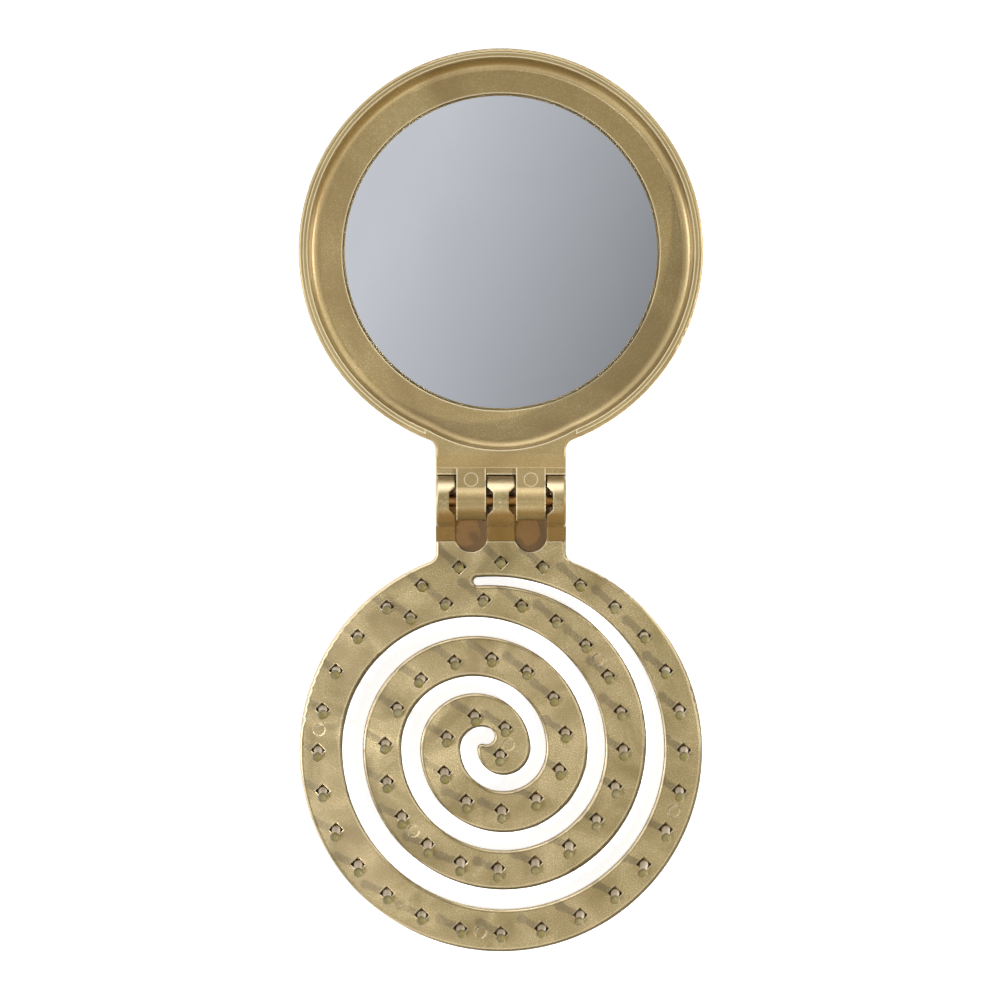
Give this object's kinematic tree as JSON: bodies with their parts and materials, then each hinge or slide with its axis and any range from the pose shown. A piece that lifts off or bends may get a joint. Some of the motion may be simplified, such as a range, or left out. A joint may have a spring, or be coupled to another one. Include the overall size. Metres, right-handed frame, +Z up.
{
  "type": "folding hair brush",
  "caption": "Pocket hair brush: a round plate cut into a spiral band of ball-tipped bristles, hinged by a pinned neck to a round cup-shaped lid that holds a mirror and folds over the bristles.",
  "frame": {"origin": "on the table, below the middle of the hinge axis, with the brush lying open on its back", "axes": "+X along the hinge axis, +Y from the brush towards the lid, +Z up, the way the mirror and the bristles face"},
  "size_m": [0.07, 0.1566, 0.0125],
  "materials": {
    "plate_gold": "moulded pearl gold, glossy",
    "lid_gold": "moulded pearl gold, satin with a fine grain",
    "bristle_nylon": "moulded nylon, olive gold",
    "pin_brass": "drawn wire",
    "tape": "double-sided foam tape",
    "mirror": "polished"
  },
  "bodies": {
    "brush": {"brush_front_plate": "plate_gold", "brush_back_cover": "plate_gold", "hinge_pin": "pin_brass", "bristles_outer_ring": "bristle_nylon", "bristles_second_turn": "bristle_nylon", "bristles_inner_turn": "bristle_nylon"},
    "lid": {"lid_shell": "lid_gold", "mirror_adhesive": "tape", "mirror_glass": "mirror"}
  },
  "joints": [
    {"name": "lid_hinge", "type": "hinge", "parent": "brush", "child": "lid", "pos_m": [0, 0, 0.00805], "axis": [1, 0, 0], "range_deg": [0, 180]}
  ]
}
